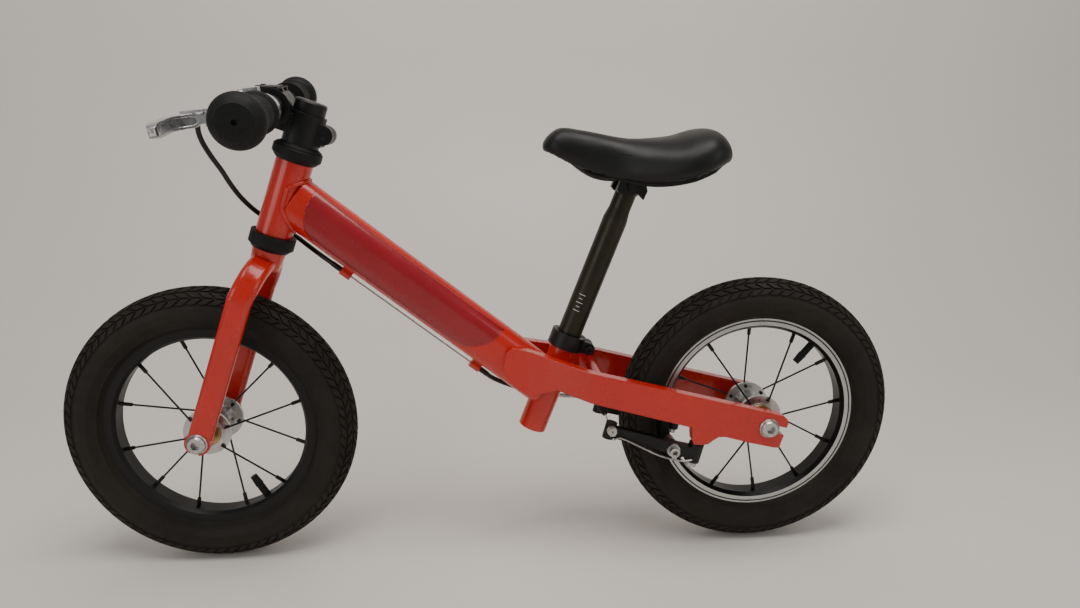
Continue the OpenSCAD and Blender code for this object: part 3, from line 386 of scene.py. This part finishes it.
def tube(path, radius, sides=16, bead=None):
    """Points and faces of a closed round tube along a path in metres."""
    path = np.array(path, float)
    n = len(path)
    ahead = np.gradient(path, axis=0)
    ahead /= np.linalg.norm(ahead, axis=1)[:, None]
    side = np.cross(ahead[0], [0.13, 0.2, 1])
    points = []
    for i in range(n):
        side = side - ahead[i] * (side @ ahead[i])
        side /= np.linalg.norm(side)
        up = np.cross(ahead[i], side)
        r = radius * (bead(i / (n - 1)) if bead else 1)
        for k in range(sides):
            a = 2 * math.pi * k / sides
            points.append(path[i] + r * (math.cos(a) * side + math.sin(a) * up))
    faces = grid_faces(n, sides)
    faces.append(tuple(range(sides)))
    faces.append(tuple((n - 1) * sides + k for k in range(sides)))
    return points, faces


# ---------------------------------------------------------------- tyres

TYRE_R, SECTION_R, CAVITY_R = 149.0, 23.0, 18.6
SECTION_C = TYRE_R - SECTION_R
PITCHES = 78
# Columns of one tread pitch as [share of the pitch, height share]
COLUMNS = [(0.0, 0), (0.22, 0), (0.27, 1), (0.50, 1), (0.73, 1), (0.95, 1)]
# Rows across half the tread as [arc from the crown in mm, height share]
TREAD_ROWS = [
    (0.0, 1), (2.6, 1), (2.9, 0), (4.1, 0), (4.4, 1), (7.4, 1), (10.6, 1), (10.9, 0),
    (12.3, 0), (12.6, 1), (15.8, 1), (19.0, 1), (19.3, 0), (20.3, 0), (20.6, 1),
    (24.0, 1), (26.6, 1),
]
TREAD_H = 1.5


def zigzag(arc):
    """Sideways run of the tread's grooves, in mm."""
    period = 16.4
    share = (abs(arc) / period + 0.25) % 1
    return 5.2 * (abs(share * 2 - 1) * 2 - 1)


def tyre(name, place, body, node):
    pitch = 2 * math.pi / PITCHES
    columns = [(k * pitch + s * pitch, h) for k in range(PITCHES) for s, h in COLUMNS]
    rows = [(-a, h) for a, h in reversed(TREAD_ROWS[1:])] + TREAD_ROWS
    points, count = [], len(columns)
    base = SECTION_R - TREAD_H

    def ring(section_r, angle, arc=0.0, height=None):
        for a, h in columns:
            r = section_r
            if height is not None:
                r = base + TREAD_H * (height * h)
                a = a + zigzag(arc) / TYRE_R
            rho = SECTION_C + r * math.cos(angle)
            points.append([rho * math.cos(a), r * math.sin(angle), rho * math.sin(a)])

    # Inner wall from one bead to the other, then the outside back again
    for share in np.linspace(-1, 1, 15):
        ring(CAVITY_R, share * math.radians(150))
    side = [
        (150, SECTION_R - 0.9), (147, SECTION_R - 0.3), (140, SECTION_R - 0.5),
        (133, SECTION_R - 0.2), (131, SECTION_R + 0.35), (128, SECTION_R + 0.35),
        (126, SECTION_R - 0.35), (118, SECTION_R - 0.35), (108, SECTION_R - 0.3),
        (106, SECTION_R + 0.05), (103, SECTION_R + 0.05), (101, SECTION_R - 0.35),
        (92, SECTION_R - 0.4), (84, SECTION_R - 0.6), (77, SECTION_R - 0.9),
        (71, base + 0.1), (68.2, base),
    ]
    for degrees, r in side:
        ring(r, math.radians(degrees))
    for arc, height in reversed(rows):
        ring(0, arc / SECTION_R, arc, height)
    for degrees, r in reversed(side):
        ring(r, -math.radians(degrees))
    rings = len(points) // count
    faces = grid_faces(rings, count, wrap_rows=True)
    piece = make(name, place(points), faces, TYRE, body, True, [node])
    with_edges(piece, 32)
    return piece


def with_edges(piece, degrees):
    """Marks the edges sharper than the angle, so that shading breaks there."""
    piece.data.set_sharp_from_angle(angle=math.radians(degrees))


tyre("front_tyre_tread", front_wheel, "front_wheel", "front_tyre")
tyre("rear_tyre_tread", rear_wheel, "rear_wheel", "rear_tyre")

# ---------------------------------------------------------------- saddle

SADDLE_TOP = [[56, 432], [58, 440], [65, 448], [77, 453], [105, 448.5], [127, 444],
              [150, 441.5], [185, 444], [205, 449.5], [220, 452], [232, 449],
              [242, 438], [247, 424]]
SADDLE_LOW = [[56, 432], [70, 423.5], [92, 413.5], [115, 405], [135, 399.5],
              [155, 396.2], [180, 396.5], [205, 402], [225, 410.5], [240, 418.5],
              [247, 424]]
SADDLE_PLAN = [[56, 0], [57, 9], [62, 16.5], [72, 21], [100, 22.5], [130, 28.5],
               [155, 39], [180, 51], [202, 57], [222, 54], [238, 40], [245, 20],
               [247, 0]]


def along(outline, x):
    """Height of an outline at x, by its smooth curve."""
    curve = spline(outline, 12)
    order = np.argsort(curve[:, 0])
    return float(np.interp(x, curve[order, 0], curve[order, 1]))


# Ends of the shell along x, and the least half width there
SADDLE_FRONT, SADDLE_BACK, TIP_HALF = 56.4, 246.6, 1.5
# Height share of the widest line, and the roundness above and below it
WIDEST, ROUND_ABOVE, ROUND_BELOW = 0.30, 2.35, 2.6
# Hollow below: depth, x where it starts and ends, run of each end, side wall
HOLLOW_DEPTH, HOLLOW_FRONT, HOLLOW_BACK, HOLLOW_RUN, SIDE_WALL = 24, 62, 240, 20, 8.5


def saddle_half(x):
    return max(along(SADDLE_PLAN, x), TIP_HALF)


def saddle_shape(stations, across):
    """A crowned closed form: rings from nose to tail."""
    points = []
    share = np.linspace(0.0, 1.0, stations)
    spread = 0.5 - 0.5 * np.cos(math.pi * share)
    for x in SADDLE_FRONT + (SADDLE_BACK - SADDLE_FRONT) * spread:
        top, low = along(SADDLE_TOP, x), along(SADDLE_LOW, x)
        half = saddle_half(x)
        mid = low + WIDEST * (top - low)
        for k in range(across):
            a = 2 * math.pi * k / across
            c, s = math.cos(a), math.sin(a)
            n = ROUND_ABOVE if s > 0 else ROUND_BELOW
            y = half * math.copysign(abs(c) ** (2 / n), c)
            rise = (top - mid) if s > 0 else (mid - low)
            z = mid + rise * math.copysign(abs(s) ** (2 / n), s)
            points.append([x, y, z])
    return np.array(points)


def saddle(stations=60, across=44):
    """The saddle's cover, with the hollow that rises between its side walls."""
    points = saddle_shape(stations, across)
    for i in range(stations):
        x = points[i * across, 0]
        half = saddle_half(x)
        into = max(0.0, min(1, (x - HOLLOW_FRONT) / HOLLOW_RUN))
        out_of = max(0.0, min(1, (HOLLOW_BACK - x) / HOLLOW_RUN))
        depth = HOLLOW_DEPTH * into * out_of
        for k in range(across):
            a = 2 * math.pi * k / across
            if math.sin(a) < -1e-6:
                p = points[i * across + k]
                inner = max(0.0, 1 - (abs(p[1]) / max(half - SIDE_WALL, 1)) ** 6)
                p[2] += depth * inner
    faces = grid_faces(stations, across)
    faces.append(tuple(range(across)))
    faces.append(tuple((stations - 1) * across + k for k in range(across)))
    return make("saddle_cover", points * MM, faces, VINYL, None)


def soften(piece, pressure, cap, frames=14, voxel=3.4 * MM):
    """Inflates a closed padded mesh as cloth, keeping each point near its start."""
    scene = bpy.context.scene
    bpy.context.view_layer.objects.active = piece
    remesh = piece.modifiers.new("voxels", "REMESH")
    remesh.mode, remesh.voxel_size = "VOXEL", voxel
    with bpy.context.temp_override(object=piece, active_object=piece):
        bpy.ops.object.modifier_apply(modifier="voxels")
    start = np.array([v.co[:] for v in piece.data.vertices])
    cloth = piece.modifiers.new("cloth", "CLOTH")
    settings = cloth.settings
    settings.quality = 5
    settings.use_pressure = True
    settings.uniform_pressure_force = pressure
    settings.effector_weights.gravity = 0
    settings.tension_stiffness = settings.compression_stiffness = 25
    settings.bending_stiffness = 4
    cloth.point_cache.frame_start, cloth.point_cache.frame_end = 1, frames
    for f in range(1, frames + 1):
        scene.frame_set(f)
    evaluated = piece.evaluated_get(bpy.context.evaluated_depsgraph_get())
    moved = np.array([v.co[:] for v in evaluated.to_mesh().vertices])
    evaluated.to_mesh_clear()
    piece.modifiers.remove(cloth)
    step = moved - start
    size = np.linalg.norm(step, axis=1)
    step *= np.minimum(1, cap / np.maximum(size, 1e-9))[:, None]
    piece.data.vertices.foreach_set("co", (start + step).ravel())
    scene.frame_set(1)


def relax(piece, rounds, amount=0.5):
    """Smooths a mesh without shrinking it much."""
    n = len(piece.data.vertices)
    edges = np.array([e.vertices[:] for e in piece.data.edges])
    co = np.array([v.co[:] for v in piece.data.vertices])
    degree = np.bincount(edges.ravel(), minlength=n)[:, None]
    for k in range(rounds * 2):
        total = np.zeros_like(co)
        np.add.at(total, edges[:, 0], co[edges[:, 1]])
        np.add.at(total, edges[:, 1], co[edges[:, 0]])
        factor = amount if k % 2 == 0 else -amount * 1.04
        co = co + factor * (total / degree - co)
    piece.data.vertices.foreach_set("co", co.ravel())
    piece.data.update()


cover = saddle()
soften(cover, 3.0, 1.2 * MM)
relax(cover, 5)
for polygon in cover.data.polygons:
    polygon.use_smooth = True
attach(cover, "saddle")
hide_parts("saddle_pad")

# ---------------------------------------------------------------- grips


RIBS, RIB_START, RIB_STEP = 15, 100, 3.9
# End bulb of a grip: radius of its round, outer radius, middle and end face
BULB, BULB_OUT, BULB_MIDDLE, GRIP_END = 13.6, 22.2, 171.4, 184.2
END_RING_STEP, END_HOLE = 2.3, 3.4


def grip_profile():
    """Radius and distance from the bar's middle, from the collar to the end."""
    points = [(12.0, 91.8), (18.2, 91.8), (18.8, 92.6), (18.8, 95.0), (18.0, 96.0),
              (15.4, 97.2)]
    for k in range(RIBS):
        y = RIB_START + k * RIB_STEP
        points += [(15.4, y), (15.95, y + 0.7), (15.95, y + 2.4), (15.4, y + 3.1)]
    points += [(15.3, 158.5), (15.6, 159.4), (17.6, 160.6)]
    for degrees in range(-60, 61, 8):
        a = math.radians(degrees)
        r = BULB_OUT - BULB + BULB * math.cos(a)
        points.append((r, BULB_MIDDLE + BULB * math.sin(a)))
    r = BULB_OUT - BULB + BULB * math.cos(math.radians(66))
    while r > END_HOLE:
        y = GRIP_END + 0.7 * (1 - (r / 15) ** 2)
        points += [(r, y), (r - 0.4, y - 0.2), (r - 1.0, y - 0.2), (r - 1.4, y)]
        r -= END_RING_STEP
    points += [(2.4, 184.9), (2.2, 182.0), (0.01, 182.0)]
    return points


for side, sign in (("left", -1), ("right", 1)):
    outline = [(r, sign * y) for r, y in grip_profile()]
    points, faces = lathe(outline, 72, bar)
    grip = make(
        f"grip_{side}_moulded", points, faces, RUBBER, "steering",
        replaced=[f"grip_{side}"],
    )
    with_edges(grip, 50)

# ---------------------------------------------------------------- cable

CABLE_DROP = -50.5 / 2 - 4.75
STOPS = (83.0, 247.0)
LEVER_Y = -63.0
front_route = np.vstack([
    lever([[-44.2, LEVER_Y + 17.2, 0], [-50, LEVER_Y + 23, 0.5]]),
    np.array([
        [-262, -31, 464], [-267, -25, 454], [-266, -21, 442], [-260, -18, 428],
        [-253, -13, 414], [-248, -4, 399], [-242, 6, 385], [-233, 15, 372],
        [-222, 23, 361], [-209, 27, 351], [-196, 25, 343], [-182, 17, 334],
        [-168, 7, 326],
    ]) * MM,
    main([[STOPS[0] - 13, 0, CABLE_DROP], [STOPS[0] - 6, 0, CABLE_DROP]]),
])
rear_route = np.vstack([
    main([[STOPS[1] + 6, 0, CABLE_DROP], [STOPS[1] + 13, 0, CABLE_DROP]]),
    np.array([
        [4, 5, 191], [20, 15, 180], [36, 27, 170], [52, 38, 161.5], [66, 46, 156],
        [76, 49.7, 153.3],
    ]) * MM,
])


HOUSING_R, HOUSING_RINGS = 2.5 * MM, 130
FERRULE, FERRULE_SWELL = 11 * MM, 1.16


def housing(name, route, node):
    """Cable housing along a curved route, with a swelled ferrule at each end."""
    path = spline(route, 9)
    lengths = np.concatenate(
        [[0], np.cumsum(np.linalg.norm(np.diff(path, axis=0), axis=1))]
    )
    even = np.linspace(0, lengths[-1], HOUSING_RINGS)
    path = np.array([np.interp(even, lengths, path[:, k]) for k in range(3)]).T
    ferrule = FERRULE / lengths[-1]

    def bead(share):
        near = min(share, 1 - share)
        return FERRULE_SWELL if near < ferrule else 1.0

    points, faces = tube(path, HOUSING_R, 18, bead)
    piece = make(name, points, faces, SLEEVE, None, replaced=[node])
    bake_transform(piece)
    with_edges(piece, 40)
    return piece


housing(
    "front_cable_housing", front_route, "housing_front",
)
housing(
    "rear_cable_housing", rear_route, "housing_rear",
)

# ---------------------------------------------------------------- frame details

MAIN_H, MAIN_W = 50.5, 36.0


def main_surface(t, share, side, proud=0.12):
    """Point on the main tube's side: share runs from its top edge (0) to 1."""
    radius = MAIN_W / 2 + proud
    flat = MAIN_H - MAIN_W
    arc = math.pi / 2 * radius
    s = share * (2 * arc + flat)
    if s < arc:
        a = s / radius
        y, z = radius * math.sin(a), flat / 2 + radius * math.cos(a)
    elif s < arc + flat:
        y, z = radius, flat / 2 - (s - arc)
    else:
        a = (s - arc - flat) / radius
        y, z = radius * math.cos(a), -flat / 2 - radius * math.sin(a)
    return [t, side * y, z]


# Panel: its ends along the tube, its edges as shares of the tube's side, the
# length over which each end's lower corner is rounded, and both its faces
PANEL_START, PANEL_END, PANEL_TOP, PANEL_LOW = 12.0, 246.0, 0.15, 0.80
PANEL_SWEEP, PANEL_PROUD = (30.0, 46.0), (0.16, 0.02)


def panel(side):
    """Burgundy panel on the tube: a thin sheet with rounded lower corners."""
    columns, rows = 120, 24
    points, faces = [], []
    for proud in PANEL_PROUD:
        for i in range(columns + 1):
            t = PANEL_START + (PANEL_END - PANEL_START) * i / columns
            # The lower edge sweeps up at both ends of the panel
            near = 1 - min(1, (t - PANEL_START) / PANEL_SWEEP[0])
            far = 1 - min(1, (PANEL_END - t) / PANEL_SWEEP[1])
            reach = math.sqrt(max(0.0, 1 - near**2)) * math.sqrt(max(0.0, 1 - far**2))
            depth = (PANEL_LOW - PANEL_TOP) * max(reach, 0.02)
            for k in range(rows + 1):
                share = PANEL_TOP + depth * k / rows
                points.append(main_surface(t, share, side, proud))
    width, per = rows + 1, (rows + 1) * (columns + 1)
    for i in range(columns):
        for k in range(rows):
            a = i * width + k
            quad = (a, a + 1, a + width + 1, a + width)
            faces.append(quad)
            faces.append(tuple(v + per for v in reversed(quad)))
    rim = [i * width for i in range(columns + 1)]
    rim += [columns * width + k for k in range(1, rows + 1)]
    rim += [i * width + rows for i in range(columns - 1, -1, -1)]
    rim += [k for k in range(rows - 1, 0, -1)]
    for a, b in zip(rim, rim[1:] + rim[:1]):
        faces.append((a, b, b + per, a + per))
    name = "left" if side < 0 else "right"
    return make(f"main_panel_{name}", main(points), faces, WINE, "frame")


for side in (-1, 1):
    panel(side)


def main_section(angle, proud=0.0):
    """Outline of the main tube's section, as [y, z] at an angle."""
    radius = MAIN_W / 2 + proud
    c, s = math.cos(angle), math.sin(angle)
    return radius * c, radius * s + math.copysign((MAIN_H - MAIN_W) / 2, s)


def weld(name, points, radius):
    """Weld bead round a closed line, with faint ripples."""
    path = np.array(points)
    path = np.vstack([path, path[:2]])
    n = len(path)
    bead = lambda share: 1 + 0.08 * math.sin(share * n * 1.1)
    verts, faces = tube(path, radius * MM, 12, bead)
    return make(name, verts, faces, RED, "frame")


HEAD_TUBE_R, HEAD_BEAD_R = 18.2, 2.3


def head_weld():
    """Bead where the main tube's outline meets the head tube."""
    points = []
    for a in np.linspace(0, 2 * math.pi, 96, endpoint=False):
        y, z = main_section(a)
        y = max(-HEAD_TUBE_R + 0.3, min(HEAD_TUBE_R - 0.3, y))
        # Slide along the tube until the point is on the head tube
        low, high = -40.0, 90.0
        for _ in range(40):
            mid = (low + high) / 2
            world = main([mid, y, z])
            local = (world - head.origin) @ head.matrix / MM
            if local[0] < math.sqrt(HEAD_TUBE_R**2 - y**2):
                low = mid
            else:
                high = mid
        points.append(main([low + 0.4, y, z]))
    return weld("head_weld", points, HEAD_BEAD_R)


head_weld()



POST_R = 12.7
# Ticks on the post: how many, the lowest, their step, half height and bearing
TICKS, TICK_LOW, TICK_STEP, TICK_HALF, TICK_BEARING = 5, 139, 4.4, 0.3, -112
# Half reach round the post in degrees of a long and a short tick
TICK_REACH = (16, 9)
TICK_POINTS = 13


def post_marks():
    """Pale height ticks printed round the left of the seat post."""
    points, faces = [], []
    for k in range(TICKS):
        w, reach = TICK_LOW + TICK_STEP * k, TICK_REACH[k % 2]
        for z in (w - TICK_HALF, w + TICK_HALF):
            for r in (POST_R - 0.05, POST_R + 0.03):
                turns = np.linspace(-reach, reach, TICK_POINTS) + TICK_BEARING
                for a in np.radians(turns):
                    points.append([r * math.cos(a), r * math.sin(a), z])
        start = k * 4 * TICK_POINTS
        for j in range(TICK_POINTS - 1):
            lower_in, lower_out, upper_in, upper_out = (
                start + n * TICK_POINTS + j for n in range(4)
            )
            faces += [
                (lower_out, lower_out + 1, upper_out + 1, upper_out),
                (lower_in, upper_in, upper_in + 1, lower_in + 1),
                (lower_in, lower_in + 1, lower_out + 1, lower_out),
                (upper_in, upper_out, upper_out + 1, upper_in + 1),
            ]
        for j in (0, TICK_POINTS - 1):
            faces.append(tuple(start + n * TICK_POINTS + j for n in (0, 1, 3, 2)))
    make("post_marks", seat(points), faces, MARK, "post")


post_marks()

# ---------------------------------------------------------------- stage


# Floor: its half width, front edge, where it starts to curve, the radius of
# that curve and the height of the wall behind
FLOOR_HALF, FLOOR_FRONT, COVE_START, COVE_R, WALL_TOP = 4.0, -3.0, 0.45, 0.6, 2.4


def stage():
    """Plain pale floor that curves up into a backdrop."""
    points, faces = [], []
    profile = [(FLOOR_FRONT, 0.0), (COVE_START, 0.0)]
    profile += [
        (COVE_START + COVE_R * math.sin(a), COVE_R - COVE_R * math.cos(a))
        for a in np.linspace(0.1, math.pi / 2, 14)
    ]
    profile += [(COVE_START + COVE_R, WALL_TOP)]
    for y, z in profile:
        points += [(-FLOOR_HALF, y, z), (FLOOR_HALF, y, z)]
    for i in range(len(profile) - 1):
        faces.append((2 * i, 2 * i + 1, 2 * i + 3, 2 * i + 2))
    m = finish_material(
        "pale_floor", ((0.78, 0.74, 0.69), (0.82, 0.78, 0.73)), (0.45, 0.6),
        grain=60, blotch=0.8, strength=0.05,
    )
    floor = make("studio_floor", points, faces, m, None)


def light(name, place, target, size, energy, colour=(1, 1, 1)):
    data = bpy.data.lights.new(name, "AREA")
    data.shape = "RECTANGLE"
    data.size, data.size_y = size
    data.energy, data.color = energy, colour
    lamp = bpy.data.objects.new(name, data)
    lamp.location = place
    lamp.rotation_euler = (Vector(target) - Vector(place)).to_track_quat("-Z", "Y").to_euler()
    bpy.context.scene.collection.objects.link(lamp)


stage()
WARM, NEARLY_WHITE = (1.0, 0.97, 0.93), (1.0, 0.98, 0.96)
light("ceiling", (0.1, -0.35, 1.9), (0.0, 0.0, 0.2), (1.6, 0.9), 24, WARM)
light("left_fill", (-1.7, -1.5, 0.9), (0.0, 0.0, 0.25), (1.2, 1.2), 9, NEARLY_WHITE)
light("right_fill", (1.9, -1.2, 1.0), (0.0, 0.0, 0.25), (1.2, 1.2), 6, NEARLY_WHITE)
world = bpy.data.worlds.new("studio")
world.use_nodes = True
world.node_tree.nodes["Background"].inputs["Color"].default_value = (0.95, 0.96, 1.0, 1)
world.node_tree.nodes["Background"].inputs["Strength"].default_value = 0.26
bpy.context.scene.world = world

# The camera as solved from the photo: place, pitch down and turn in radians
CAMERA_PLACE, PITCH_DOWN, CAMERA_TURN = (-0.00315, -0.78586, 0.46770), 0.2421, -0.0733
SENSOR_MM, LENS_MM = 36.0, 25.80
lens = bpy.data.cameras.new("camera")
lens.sensor_width, lens.lens = SENSOR_MM, LENS_MM
camera = bpy.data.objects.new("camera", lens)
camera.location = CAMERA_PLACE
camera.rotation_euler = (math.pi / 2 - PITCH_DOWN, 0, CAMERA_TURN)
bpy.context.scene.collection.objects.link(camera)
bpy.context.scene.camera = camera
